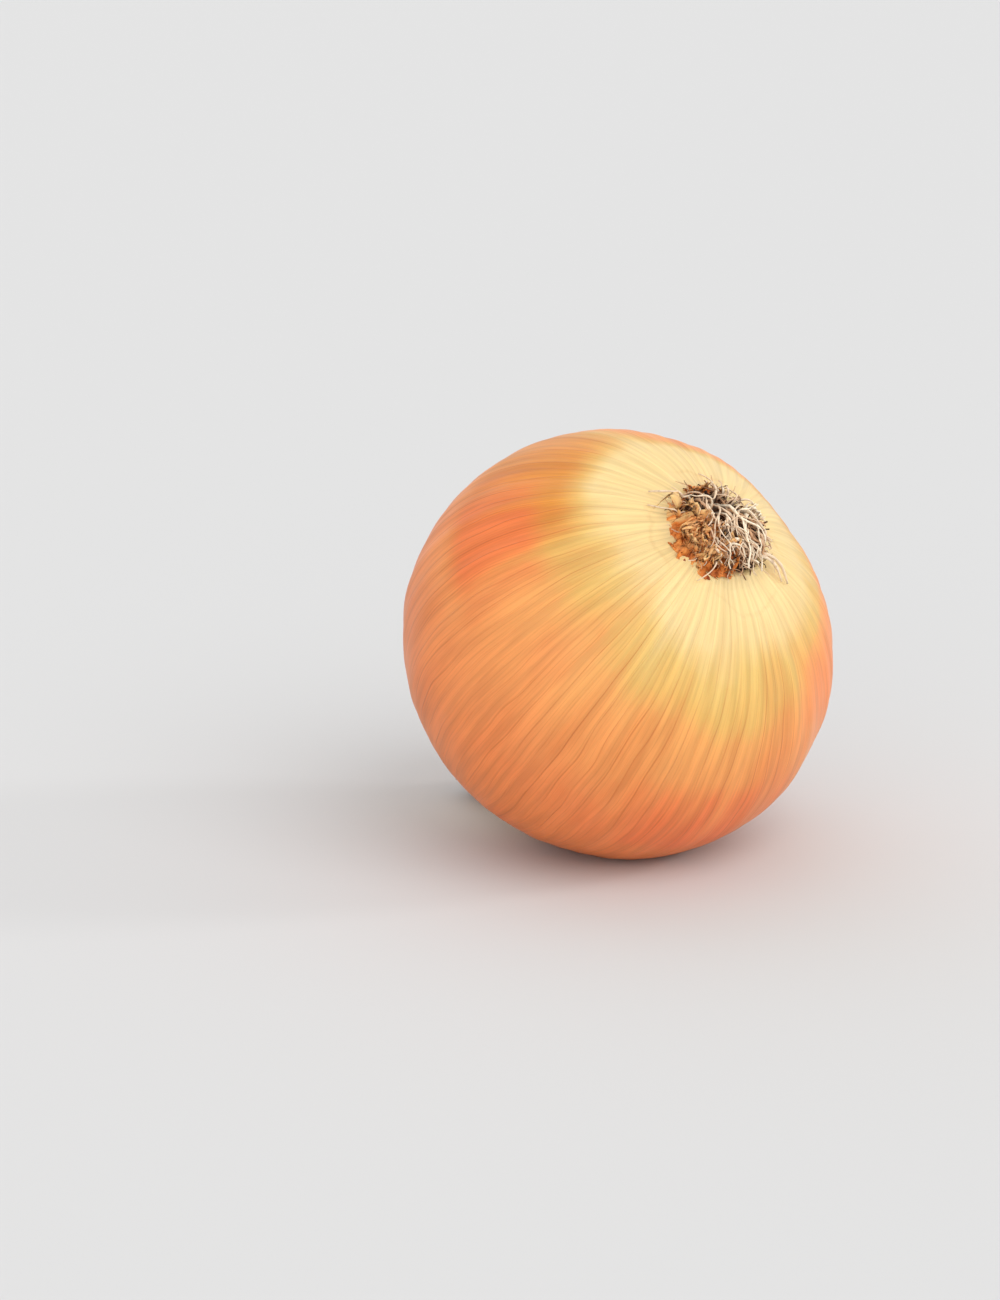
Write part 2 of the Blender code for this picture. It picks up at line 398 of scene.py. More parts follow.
def neck_tones(tree, colour, along, streak):
    """The skin's colour on the neck: straw at the foot, brown creases higher up, pale at the rim."""
    past = sums(tree, "MULTIPLY_ADD", streak, 5.0, sums(tree, "SUBTRACT", along, FOOT / MM + 2.5))
    straw = mixed(tree, between(tree, past, -8.5, -0.5, 0, 0.9), colour, NECK_STRAW)
    creases = between(tree, streak, 0.38, 0.58, 0.1, 0.9)
    brown = sums(tree, "MULTIPLY", between(tree, past, 1.5, 5.0), creases)
    tanned = mixed(tree, brown, straw, NECK_BROWN)
    ridges = between(tree, streak, 0.58, 0.42, 0.25, 0.85)
    pale = sums(tree, "MULTIPLY", between(tree, past, 5.0, 9.5), ridges)
    return mixed(tree, pale, tanned, NECK_PALE)


def blush(tree, ring_x, ring_y, along, turn, reach, spread, length):
    """A soft patch on the skin: its angle, its length from the root, and how far it spreads in each."""
    turn = math.radians(turn)
    aside = sums(tree, "MULTIPLY", ring_y, math.sin(turn))
    towards = sums(tree, "MULTIPLY_ADD", ring_x, math.cos(turn), aside)
    off = sums(tree, "ABSOLUTE", sums(tree, "SUBTRACT", along, reach))
    beside = between(tree, towards, math.cos(math.radians(spread)), 1)
    return sums(tree, "MULTIPLY", beside, between(tree, off, length / 2, length, 1, 0))


SKIN_TONES = (  # from the middle of the root end, 0, to the neck's foot, 1
    (0.00, paint(226, 194, 146)),
    (0.13, paint(236, 206, 144)),
    (0.19, paint(234, 204, 142)),
    (0.235, paint(226, 188, 110)),
    (0.275, paint(228, 180, 100)),
    (0.32, paint(238, 168, 96)),
    (0.40, paint(242, 160, 92)),
    (0.50, paint(242, 148, 86)),
    (0.58, paint(238, 138, 78)),
    (0.70, paint(230, 128, 60)),
    (0.80, paint(222, 118, 44)),
    (0.87, paint(232, 146, 70)),
    (0.93, paint(234, 188, 124)),
    (1.00, paint(234, 194, 136)),
)
TANNED = paint(214, 134, 40)
COPPER = paint(206, 106, 46)
FLAME = paint(240, 112, 66)
DEEP_VEIN = paint(180, 90, 36)
FAINT_VEIN = paint(174, 92, 40)
TORN_SKIN = paint(168, 100, 50)
# Patches: angle in degrees, length from the root in mm, and how far they spread in each.
TANNED_SIDE = (143, 37, 42, 15)
# The two riper patches lie along the bulb's outline at the upper right and the right, as the camera sees
# it: riper skin, and painted shade at the rim.
RIPER_SIDES_AND_RIM_SHADE = ((-132, 34, 50, 13), (-66, 38, 50, 13))
FLAME_PATCHES = ((121, 40, 26, 11), (15, 56, 26, 11))


def tight_skin():
    made, tree, shader = new_material("tight_skin")
    place = node(tree, "Attribute", attribute_name="skin_place").outputs["Vector"]
    torn = node(tree, "Attribute", attribute_name="torn").outputs["Fac"]
    ring_x, ring_y, along = node(tree, "SeparateXYZ", {0: place}).outputs
    broad = streaks(tree, place, 7, 45, 3)
    middling = streaks(tree, place, 34, 30, 4, 4)
    fine = streaks(tree, place, 150, 16, 6, 8)
    cloud = clouds(tree, 18)
    from_root = sums(tree, "MULTIPLY", along, MM / FOOT)
    from_root = sums(tree, "MULTIPLY_ADD", sums(tree, "SUBTRACT", broad, 0.5), 0.17, from_root)
    from_root = sums(tree, "MULTIPLY_ADD", sums(tree, "SUBTRACT", middling, 0.5), 0.06, from_root)
    from_root = sums(tree, "MULTIPLY_ADD", sums(tree, "SUBTRACT", cloud, 0.5), 0.10, from_root)
    tanned = blush(tree, ring_x, ring_y, along, *TANNED_SIDE)
    from_root = sums(tree, "MULTIPLY_ADD", tanned, 0.05, from_root)
    # Riper skin, and painted rim shade, along the outline seen from the camera.
    for side in RIPER_SIDES_AND_RIM_SHADE:
        riper_and_rim_shade = blush(tree, ring_x, ring_y, along, *side)
        from_root = sums(tree, "MULTIPLY_ADD", riper_and_rim_shade, 0.16, from_root)
    base = colour_band(tree, from_root, SKIN_TONES)
    past_cream = between(tree, from_root, 0.14, 0.32)
    base = mixed(tree, sums(tree, "MULTIPLY", tanned, 0.85), base, TANNED)
    copper = sums(tree, "MULTIPLY", between(tree, middling, 0.45, 0.72, 0, 0.30), past_cream)
    base = mixed(tree, copper, base, COPPER)
    patches = streaks(tree, place, 8, 26, 3, 17)
    glow = sums(tree, "MULTIPLY", between(tree, patches, 0.50, 0.72, 0, 0.30), past_cream)
    streaky = between(tree, middling, 0.2, 0.6)
    for patch in FLAME_PATCHES:
        here = sums(tree, "MULTIPLY", blush(tree, ring_x, ring_y, along, *patch), 0.62)
        glow = sums(tree, "MAXIMUM", glow, sums(tree, "MULTIPLY", here, streaky))
    base = mixed(tree, glow, base, FLAME)
    base = shaded(tree, base, between(tree, fine, 0.28, 0.72, 0.87, 1.08))
    long_veins = veins(tree, place, 76, 5.0, 0.20)
    thin_veins = veins(tree, place, 190, 9.0, 0.35)
    hair_veins = veins(tree, place, 420, 16.0, 0.50)
    shown = sums(tree, "MULTIPLY_ADD", past_cream, 0.75, 0.25)
    strength = sums(tree, "MULTIPLY", between(tree, middling, 0.35, 0.62, 0.10, 0.46), shown)
    base = mixed(tree, sums(tree, "MULTIPLY", long_veins, strength), base, DEEP_VEIN)
    for lines, weight in ((thin_veins, 0.17), (hair_veins, 0.10)):
        faint = sums(tree, "MULTIPLY", lines, sums(tree, "MULTIPLY", shown, weight))
        base = mixed(tree, faint, base, FAINT_VEIN)
    base = neck_tones(tree, base, along, middling)
    base = mixed(tree, sums(tree, "MULTIPLY", torn, 0.6), base, TORN_SKIN)
    tree.links.new(base, shader.inputs["Base Color"])
    tree.links.new(sums(tree, "MULTIPLY_ADD", middling, 0.24, 0.27), shader.inputs["Roughness"])
    bumps = sums(tree, "MULTIPLY_ADD", long_veins, 0.6, sums(tree, "MULTIPLY", thin_veins, 0.25))
    bumps = sums(tree, "MULTIPLY_ADD", streaks(tree, place, 120, 16, 2, 8), 0.7, bumps)
    bumps = sums(tree, "MULTIPLY_ADD", clouds(tree, 0.8, 3.0), 0.15, bumps)
    bump = node(tree, "Bump", {"Strength": 0.5, "Distance": 0.10 * MM, "Height": bumps})
    tree.links.new(bump.outputs[0], shader.inputs["Normal"])
    papery(shader, 0.08)
    return made


TIGHT_SKIN = tight_skin()
bulb_skin.data.materials.append(TIGHT_SKIN)
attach(bulb_skin, "root")
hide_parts("bulb")


# ----------------------------------------------------------------------------------- the root plate
# The root plate is the bulb's short woody stem, a corky disc sunk a little into the skin, from which
# the roots grow. It is dark brown, cracked and knobbly with the stumps of old roots, and its colours
# are painted darker still, as the shade under the roots.
PLATE_RADIUS = 7.8 * MM
PLATE_FRONT = 35.0 * MM  # how far its middle is from the bulb's centre
PLATE_BULGE = 1.3 * MM
KNOB_SIZE = 1.5 * MM
KNOB_HEIGHT = 0.9 * MM
# Cork's own browns, made darker as painted shade under the roots.
CORK_AND_SHADE_TONES = ((0.32, paint(36, 16, 6)), (0.52, paint(80, 44, 20)), (0.72, paint(140, 90, 50)))

bpy.ops.object.select_all(action="DESELECT")
bpy.ops.mesh.primitive_uv_sphere_add(segments=120, ring_count=60, radius=PLATE_RADIUS)
root_plate = bpy.context.object
root_plate.name = "root_plate"
bpy.ops.object.mode_set(mode="EDIT")
bpy.ops.mesh.select_all(action="SELECT")
bpy.ops.transform.resize(value=(1, 1, PLATE_BULGE / PLATE_RADIUS), center_override=(0, 0, 0))
bpy.ops.transform.translate(value=(0, 0, PLATE_BULGE - PLATE_FRONT))
bpy.ops.object.mode_set(mode="OBJECT")
lumpy = bpy.data.textures.new("knobs", "CLOUDS")
lumpy.noise_scale = KNOB_SIZE
knobs = root_plate.modifiers.new("knobs", "DISPLACE")
knobs.texture = lumpy
knobs.strength = KNOB_HEIGHT
bpy.ops.object.modifier_apply(modifier=knobs.name)
lay_down(root_plate, mesh_points(root_plate))
bpy.ops.object.shade_smooth()


def cork():
    made, tree, shader = new_material("cork")
    lumps = clouds(tree, 1.1, 6.0)
    tree.links.new(colour_band(tree, lumps, CORK_AND_SHADE_TONES), shader.inputs["Base Color"])
    bump = node(tree, "Bump", {"Strength": 0.9, "Distance": 0.4 * MM, "Height": lumps})
    tree.links.new(bump.outputs[0], shader.inputs["Normal"])
    shader.inputs["Roughness"].default_value = 0.9
    shader.inputs["Specular IOR Level"].default_value = 0.2
    return made


root_plate.data.materials.append(cork())
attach(root_plate, "root")


# ---------------------------------------------------------------------------------------- the roots
# A mat of dried roots, a few hundred on a real bulb, each a limp beige thread that has shrivelled. They
# grow out of the plate, fall over mostly to one side, and cross each other. A few lie out on the skin.
# The deeper in the mat a root lies, and the nearer its foot, the darker it is painted: painted shade.
ROOT_COUNT = 245
ROOT_FIELD = 6.9 * MM  # they grow out of the plate within this of its middle
ROOT_TURN = math.radians(137.5)  # from each root to the next, which spreads them evenly
ROOT_THICKNESS = (0.16 * MM, 0.36 * MM)
HAIR_COUNT = 36
HAIR_FIELD = 6.5 * MM
HAIR_THICKNESS = 0.12 * MM
SCRAP_SIDE = math.radians(78)  # scraps of skin stand on this side, and few roots lie over them
THREAD_STEPS = 12
THREAD_SIDES = 5
MAT_RADIUS = 10.2 * MM
MAT_HEIGHT = 3.6 * MM
STRAY_START = 5.5  # mm from the plate's middle
STRAYS = (  # where it starts and ends round the root, in degrees; its reach, thickness and rise, in mm
    (-37, -40.5, 15.2, 0.58, 1.7),
    (-32, -37, 14.0, 0.46, 1.4),
    (-46, -38, 12.2, 0.20, 1.5),
    (36, 50, 12.4, 0.26, 1.5),
    (118, 128, 12.8, 0.30, 1.5),
    (150, 142, 13.2, 0.34, 2.0),
    (-150, -160, 12.6, 0.26, 1.5),
)

bpy.ops.object.select_all(action="DESELECT")
bpy.ops.mesh.primitive_circle_add(vertices=THREAD_SIDES, radius=1, fill_type="NGON")
straight_thread = bpy.context.object
bpy.ops.object.mode_set(mode="EDIT")
bpy.ops.mesh.select_all(action="SELECT")
for step in range(THREAD_STEPS):
    bpy.ops.mesh.extrude_region_move(TRANSFORM_OT_translate={"value": (0, 0, 1)})
bpy.ops.mesh.select_all(action="SELECT")
bpy.ops.mesh.normals_make_consistent(inside=False)
bpy.ops.object.mode_set(mode="OBJECT")
chance = np.random.default_rng(11)


def thread(line, thickness, taper, tone):
    """A copy of the straight thread, bent along a line, thinning to its tip and a little flattened."""
    made = bpy.data.objects.new("thread", straight_thread.data.copy())
    bpy.context.scene.collection.objects.link(made)
    corners = mesh_points(made)
    index = np.rint(corners[:, 2]).astype(int)
    run = np.gradient(line, axis=0)
    run /= np.linalg.norm(run, axis=1)[:, None]
    side = np.cross(run, chance.normal(0, 1, 3))
    side /= np.linalg.norm(side, axis=1)[:, None]
    other = np.cross(run, side)
    share = np.arange(len(line)) / THREAD_STEPS
    thin = thickness * (1 - taper * share) * (1 + 0.20 * chance.normal(0, 1, len(line)))
    around = corners[:, 0, None] * side[index] + 0.6 * corners[:, 1, None] * other[index]
    lay_down(made, line[index] + around * thin[index, None], 0.05 * MM)
    for name, values in (("tone", np.full(len(index), tone)), ("out", share[index])):
        attribute = made.data.attributes.new(name, "FLOAT", "POINT")
        attribute.data.foreach_set("value", values.astype(np.float32))
    return made


def joined(pieces, name):
    bpy.ops.object.select_all(action="DESELECT")
    for piece in pieces:
        piece.select_set(True)
    bpy.context.view_layer.objects.active = pieces[0]
    bpy.ops.object.join()
    bpy.context.object.name = name
    bpy.ops.object.shade_smooth()
    return bpy.context.object


def ground(radius):
    """The height of the plate, or of the skin round it, at a distance from the axis."""
    root_half = RADIUS[: len(RADIUS) // 2]
    skin = np.interp(radius, root_half, HEIGHT[: len(root_half)])
    plate = -PLATE_FRONT + 0.6 * MM * (radius / PLATE_RADIUS) ** 2
    return np.where(radius < PLATE_RADIUS, np.minimum(plate, skin), skin)


def limp_line(start, fall, length, layer, tip):
    """A limp root's line: up out of the plate to its layer of the mat, over, and down to the skin."""
    share = np.linspace(0, 1, THREAD_STEPS + 1)
    wander = chance.normal(0, 0.5) * share**2
    wander += 0.38 * np.sin(share * chance.uniform(4, 10) + chance.uniform(0, 6))
    heading = fall + wander
    step = np.stack((np.cos(heading), np.sin(heading)), axis=-1) * length / THREAD_STEPS
    step *= (0.35 + 0.65 * eased(share / 0.25))[:, None]
    flat = np.array(start) + np.cumsum(step, axis=0) - step[0]
    radius = np.hypot(flat[:, 0], flat[:, 1])
    sinking = 1 - 0.6 * eased((radius - 5 * MM) / (6 * MM))
    rise = eased(share / 0.30) * layer * sinking + 0.45 * MM
    wave = np.sin(share * chance.uniform(5, 12) + chance.uniform(0, 6))
    rise += 0.25 * MM * wave * eased(share / 0.3)
    rise += tip * eased((share - 0.6) / 0.4)
    rise = np.where(share < 0.05, -0.8 * MM, np.maximum(rise, 0.4 * MM))
    return np.column_stack((flat, ground(radius) - rise))


def to_rim(start, fall, rim):
    """How far it is from a start on the plate to a circle round it, going one way."""
    ahead = start[0] * math.cos(fall) + start[1] * math.sin(fall)
    return -ahead + math.sqrt(ahead**2 + rim**2 - start[0] ** 2 - start[1] ** 2)


threads = []
for number in range(ROOT_COUNT):
    turn = number * ROOT_TURN
    from_middle = ROOT_FIELD * math.sqrt((number + 0.5) / ROOT_COUNT)
    start = (from_middle * math.cos(turn), from_middle * math.sin(turn))
    pick = chance.random()  # over half of them fall to two sides, the rest outwards
    if pick < 0.28:
        fall = math.radians(chance.normal(-33, 26))
    elif pick < 0.54:
        fall = math.radians(chance.normal(26, 20))
    else:
        fall = turn + chance.normal(0, 0.7)
    mat_rim = MAT_RADIUS * (1 - 0.13 * max(math.cos(fall + 1.05), 0))
    length = min(chance.uniform(6, 15) * MM, to_rim(start, fall, mat_rim * chance.uniform(0.82, 1.06)))
    over_scraps = (math.cos(fall - SCRAP_SIDE) - 0.5) / 0.5
    over_scraps += (start[0] * math.cos(SCRAP_SIDE) + start[1] * math.sin(SCRAP_SIDE)) / (9 * MM)
    length *= 1 - 0.75 * float(eased(over_scraps))
    height = chance.random()
    tip = max(chance.normal(0, 0.8), 0) * MM
    line = limp_line(start, fall, length * 1.08, height * MAT_HEIGHT, tip)
    # Its tone follows its height in the mat, darker lower down: painted shade, with a random spread.
    tone = np.clip(-0.12 + 1.15 * height + chance.normal(0, 0.18), 0, 1)
    threads.append(thread(line, chance.uniform(*ROOT_THICKNESS), 0.55, tone))
for number in range(HAIR_COUNT):
    turn = chance.uniform(0, math.tau)
    start = (HAIR_FIELD * math.cos(turn), HAIR_FIELD * math.sin(turn))
    length = chance.uniform(3.0, 6.0) * MM
    line = limp_line(start, turn + chance.normal(0, 0.7), length, 1.2 * MM, chance.uniform(0, 1.5) * MM)
    threads.append(thread(line, HAIR_THICKNESS, 0.5, chance.uniform(0.35, 0.9)))
for first, last, reach, thick, rise in STRAYS:
    share = np.linspace(0, 1, THREAD_STEPS + 1)
    turn = np.radians(first + (last - first) * share) + 0.03 * np.sin(share * 7)
    radius = (STRAY_START + (reach - STRAY_START) * share) * MM
    height = ground(radius) - (0.5 + rise * np.sin(share * math.pi)) * MM
    line = np.column_stack((radius * np.cos(turn), radius * np.sin(turn), height))
    threads.append(thread(line, thick * MM, 0.6, 0.85))
root_mat = joined(threads, "root_mat")
bpy.data.objects.remove(straight_thread)


# Painted shade: the deepest roots darkest, the top ones lightest.
ROOT_DEPTH_SHADE_TONES = (  # from the deepest roots, 0, to the ones on top, 1
    (0.0, paint(50, 24, 10)),
    (0.28, paint(106, 64, 36)),
    (0.55, paint(212, 166, 126)),
    (1.0, paint(255, 238, 210)),
)
ROOT_SPOTS = paint(132, 84, 48)
ROOT_FOOT_SHADE = paint(48, 26, 14)


def root_fibre():
    made, tree, shader = new_material("root_fibre")
    tone = node(tree, "Attribute", attribute_name="tone").outputs["Fac"]
    out = node(tree, "Attribute", attribute_name="out").outputs["Fac"]
    base = colour_band(tree, tone, ROOT_DEPTH_SHADE_TONES)
    base = mixed(tree, between(tree, clouds(tree, 1.2), 0.52, 0.75, 0, 0.6), base, ROOT_SPOTS)
    # Painted shade: each thread darkens towards its foot, down among the others.
    base = mixed(tree, between(tree, out, 0.0, 0.35, 0.9, 0), base, ROOT_FOOT_SHADE)
    tree.links.new(base, shader.inputs["Base Color"])
    bump = node(tree, "Bump", {"Strength": 0.7, "Distance": 0.12 * MM, "Height": clouds(tree, 0.2, 3.0)})
    tree.links.new(bump.outputs[0], shader.inputs["Normal"])
    shader.inputs["Roughness"].default_value = 0.75
    shader.inputs["Specular IOR Level"].default_value = 0.3
    return made


root_mat.data.materials.append(root_fibre())
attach(root_mat, "root")
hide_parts("root_tuft")


# ----------------------------------------------------------------------- the torn skin at the roots
# The skin ends raggedly round the root plate. On one side dry scraps of older skins, browner and
# crumpled, still stand there in frilly layers, leaning in over the plate.
RIM_INNER = 7.0 * MM
RIM_OUTER = 12.0 * MM
RIM_TEETH = ((6, 0.5 * MM), (26, 0.8 * MM), (80, 0.4 * MM))
RIM_THICKNESS = 0.08 * MM
SCRAP_COUNT = 26
SCRAP_SPREAD = math.radians(25)
SCRAP_REACH = (5.0 * MM, 9.9 * MM)  # from the plate's middle to the edge that it hangs on by
SCRAP_WIDTH = (3.0 * MM, 5.2 * MM)
SCRAP_LENGTH = (2.4 * MM, 4.2 * MM)
SCRAP_THICKNESS = 0.09 * MM
SCRAP_OVERHANG = 1.2 * MM  # how far outside that edge it may fold
EDGE_SCRAP_LENGTH = (2.6 * MM, 3.4 * MM)
EDGE_SCRAPS = (  # where it stands round the root, in radians; how far out and how wide it is, in mm
    (-2.9, 9.8, 4.4),
    (-2.6, 9.6, 3.4),
    (2.6, 9.2, 3.0),
    (-3.1, 9.4, 3.4),
    (0.5, 9.4, 3.0),
    (0.75, 10.0, 3.6),
    (0.95, 10.9, 4.0),
    (1.15, 11.0, 4.0),
    (1.40, 10.6, 3.8),
)


def papery_sheet(name, columns, rows, place, thickness, ring=False):
    """A sheet of dry skin: a flat grid wrapped on the onion, then given its thickness.

    place takes the grid's places across and up, 0 to 1, and gives around, along and raised for skin_at,
    with a number that is highest at a torn edge and 0 well inside. A ring's two ends are joined.
    """
    bpy.ops.object.select_all(action="DESELECT")
    bpy.ops.mesh.primitive_grid_add(x_subdivisions=columns, y_subdivisions=rows, size=1)
    sheet = bpy.context.object
    sheet.name = name
    flat = mesh_points(sheet)
    around, along, raised, edge = place(flat[:, 0] + 0.5, flat[:, 1] + 0.5)
    mark_skin(sheet, around, along, edge)
    lay_down(sheet, skin_at(around, along, raised), thickness + 0.02 * MM)
    if ring:
        bpy.ops.object.mode_set(mode="EDIT")
        bpy.ops.mesh.select_all(action="SELECT")
        bpy.ops.mesh.remove_doubles(threshold=0.002 * MM)
        bpy.ops.object.mode_set(mode="OBJECT")
    return walled(sheet, thickness)


def walled(sheet, thickness):
    wall = sheet.modifiers.new("wall", "SOLIDIFY")
    wall.thickness = thickness
    wall.offset = 1
    bpy.ops.object.modifier_apply(modifier=wall.name)
    bpy.ops.object.shade_smooth()
    return sheet


def rim_place(across, up):
    around = across * math.tau
    inner = RIM_INNER - jagged_ring(around, 5.5, RIM_TEETH)
    along = inner + (RIM_OUTER - inner) * up
    from_edge = (along - inner) / MM
    curl = np.exp(-from_edge / 1.2) * (0.75 + 1.3 * ripples(around, along, 26, 6 * MM, 3))
    raised = np.maximum(curl, 0) + 0.10 * (1 - 2.2 * eased((up - 0.4) / 0.6))
    return around, along, raised * MM, 0.8 * np.exp(-from_edge / 0.35)


root_rim = papery_sheet("root_rim", SKIN_COLUMNS, 26, rim_place, RIM_THICKNESS, ring=True)
root_rim.data.materials.append(TIGHT_SKIN)
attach(root_rim, "root")


def scrap(turn, reach, width, length, stand):
    """A crumpled scrap, which hangs on by one edge, at an angle and a distance from the root's middle.

    It leans in over the plate, and stands up by the angle stand.
    """
    bpy.ops.object.select_all(action="DESELECT")
    bpy.ops.mesh.primitive_grid_add(x_subdivisions=20, y_subdivisions=16, size=1)
    piece = bpy.context.object
    flat = mesh_points(piece)
    across, up = flat[:, 0], flat[:, 1] + 0.5
    seed = chance.uniform(0, 99)
    sway = np.array([noise.noise((x * 3, seed, 0)) + 0.6 * noise.noise((x * 9, seed, 4)) for x in across])
    spread = np.array([noise.noise((y * 3, seed, 8)) + 0.5 * noise.noise((y * 9, seed, 2)) for y in up])
    up = up * (1 + 0.8 * sway)
    across = across * (1 + 0.6 * spread - 0.35 * up**2)
    angle = stand * (0.35 + 0.65 * up) + chance.normal(0, 0.5) * up**2
    ahead, rise = length * up * np.cos(angle), length * up * np.sin(angle)
    folds = []
    for axis in (10, 20, 30):
        broad = [noise.noise((x * 2.6, y * 2.2, seed + axis)) for x, y in zip(across, up)]
        small = [noise.noise((x * 8, y * 7, seed + axis)) for x, y in zip(across, up)]
        folds.append(np.array(broad) + 0.6 * np.array(small))
    amount = 0.42 * width * (0.25 + 0.75 * eased(up / 0.4))
    inward = np.array((-math.cos(turn), -math.sin(turn), 0))
    tangent = np.array((-math.sin(turn), math.cos(turn), 0))
    base = np.array((reach * math.cos(turn), reach * math.sin(turn), 0))
    points = base + np.outer(across * width + folds[0] * amount * 0.5, tangent)
    points += np.outer(ahead + folds[1] * amount * 0.5, inward)
    out = np.hypot(points[:, 0], points[:, 1])
    furthest = reach + SCRAP_OVERHANG
    kept_in = np.where(out > furthest, furthest + 0.3 * (out - furthest), out)
    points *= (kept_in / out)[:, None]
    surface = ground(kept_in)
    points[:, 2] = surface - np.maximum(rise + folds[2] * amount, 0.12 * MM)
    mark_skin(piece, turn + across * width / reach, reach - up * length, 0.7 * eased((up - 0.7) / 0.3))
    lay_down(piece, points)
    return walled(piece, SCRAP_THICKNESS)


scraps = []
for number in range(SCRAP_COUNT):
    turn = SCRAP_SIDE + chance.normal(0, SCRAP_SPREAD)
    reach = chance.uniform(*SCRAP_REACH)
    width, length = chance.uniform(*SCRAP_WIDTH), chance.uniform(*SCRAP_LENGTH)
    scraps.append(scrap(turn, reach, width, length, math.radians(chance.uniform(25, 80))))
for turn, reach, width in EDGE_SCRAPS:
    length = chance.uniform(*EDGE_SCRAP_LENGTH)
    scraps.append(scrap(turn, reach * MM, width * MM, length, math.radians(chance.uniform(30, 60))))
root_scraps = joined(scraps, "root_scraps")


def dry_skin(name, tones, rough, edge_tone, neck=False):
    """Dry papery skin, streaked and veined in three tones, with another tone where it's torn."""
    made, tree, shader = new_material(name)
    place = node(tree, "Attribute", attribute_name="skin_place").outputs["Vector"]
    torn = node(tree, "Attribute", attribute_name="torn").outputs["Fac"]
    along = node(tree, "SeparateXYZ", {0: place}).outputs[2]
    broad = streaks(tree, place, 9, 30, 3, 2)
    middling = streaks(tree, place, 48, 22, 4, 6)
    fine = streaks(tree, place, 170, 12, 6, 8)
    blend = sums(tree, "MULTIPLY_ADD", middling, 0.50, sums(tree, "MULTIPLY", broad, 0.38))
    blend = sums(tree, "MULTIPLY_ADD", clouds(tree, 7), 0.12, blend)
    base = colour_band(tree, blend, ((0.36, tones[0]), (0.50, tones[1]), (0.62, tones[2])))
    base = shaded(tree, base, between(tree, fine, 0.30, 0.70, 0.84, 1.08))
    long_veins = veins(tree, place, 84, 6.0, 0.22)
    base = mixed(tree, sums(tree, "MULTIPLY", long_veins, 0.34), base, tones[0])
    hair_veins = veins(tree, place, 300, 12.0, 0.45)
    base = mixed(tree, sums(tree, "MULTIPLY", hair_veins, 0.16), base, tones[0])
    if neck:
        base = neck_tones(tree, base, along, middling)
    base = mixed(tree, sums(tree, "MULTIPLY", torn, 0.75), base, edge_tone)
    tree.links.new(base, shader.inputs["Base Color"])
    tree.links.new(sums(tree, "MULTIPLY_ADD", middling, 0.2, rough), shader.inputs["Roughness"])
    bumps = sums(tree, "MULTIPLY_ADD", fine, 1.0, sums(tree, "MULTIPLY", long_veins, 0.7))
    bumps = sums(tree, "MULTIPLY_ADD", clouds(tree, 0.9, 6.0), 0.6, bumps)
    bump = node(tree, "Bump", {"Strength": 0.6, "Distance": 0.14 * MM, "Height": bumps})
    tree.links.new(bump.outputs[0], shader.inputs["Normal"])
    papery(shader, 0.15)
    return made


SCRAP_TONES = (paint(144, 54, 8), paint(250, 146, 66), paint(255, 206, 136))
SCRAP_SKIN = dry_skin("scrap_skin", SCRAP_TONES, 0.5, paint(255, 216, 152))
root_scraps.data.materials.append(SCRAP_SKIN)
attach(root_scraps, "root")


# ------------------------------------------------------------------------------ the torn outer skin
# An older skin, drier and browner, still clings to the top and the back. It split and flaked off
# elsewhere, so it ends in a ragged edge that curls off the bulb. It hangs on at the neck.
LEFT_SPLIT = math.radians(176)
LEFT_LEAN = math.radians(34)  # how far round this edge moves from the girth to the neck
LEFT_TEETH = ((9, 0.020), (24, 0.009))
RIGHT_SPLIT = math.radians(285)
RIGHT_LEAN = math.radians(10)
RIGHT_TEETH = ((9, 0.022), (24, 0.009))
SPLIT_WANDER = ((1.6, 0.07),)
TEAR_SHORT_OF_GIRTH = 4 * MM
TEAR_WANDER = ((1.1, 7 * MM),)
TEAR_TEETH = ((5, 1.6 * MM), (17, 0.9 * MM))
TOP_PAST_FOOT = 4.0 * MM
TOP_TEETH = ((2, 1.5 * MM), (9, 1.2 * MM))
DRY_SKIN_THICKNESS = 0.10 * MM


def outer_skin_place(across, up):
    left = LEFT_SPLIT - LEFT_LEAN * up + jagged(up * 2.2, 4.1, SPLIT_WANDER)
    right = RIGHT_SPLIT - RIGHT_LEAN * up + jagged(up * 2.2, 8.6, SPLIT_WANDER)
    around = left + (right - left) * across
    # The small teeth fade out a little way in from their edge, and near the corners.
    side_teeth = jagged(up * 2.2, 4.1, LEFT_TEETH) * (1 - across) ** 16
    side_teeth += jagged(up * 2.2, 8.6, RIGHT_TEETH) * across**16
    around += side_teeth * eased(up / 0.12)
    tear = GIRTH - TEAR_SHORT_OF_GIRTH + jagged(across * 5, 2.2, TEAR_WANDER)
    along = tear + (FOOT + TOP_PAST_FOOT - tear) * up
    along += jagged(across * 5, 2.9, TEAR_TEETH) * (1 - up) ** 10
    along += jagged(across * 5, 6.6, TOP_TEETH) * up**6
    from_tear = (FOOT - tear) * up / MM
    from_side = np.minimum(across, 1 - across) * (right - left) * np.interp(along, LENGTH, RADIUS) / MM
    near = np.minimum(from_tear, from_side)
    curl = np.exp(-near / 2.2) * (0.45 + 0.9 * ripples(around, along, 30, 9 * MM, 6))
    blister = eased(0.3 + 0.9 * ripples(around, along, 14, 28 * MM, 1))
    raised = 0.14 + np.maximum(curl, 0.0) + 0.45 * blister * eased(near / 4)
    return around, along, raised * MM, 0.6 * np.exp(-near / 0.35)


outer_skin = papery_sheet("outer_skin", 250, 150, outer_skin_place, DRY_SKIN_THICKNESS)
BROWN_TONES = (paint(176, 92, 34), paint(216, 130, 60), paint(234, 168, 98))
BROWN_SKIN = dry_skin("brown_skin", BROWN_TONES, 0.34, paint(236, 186, 124), neck=True)
outer_skin.data.materials.append(BROWN_SKIN)
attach(outer_skin, "root")


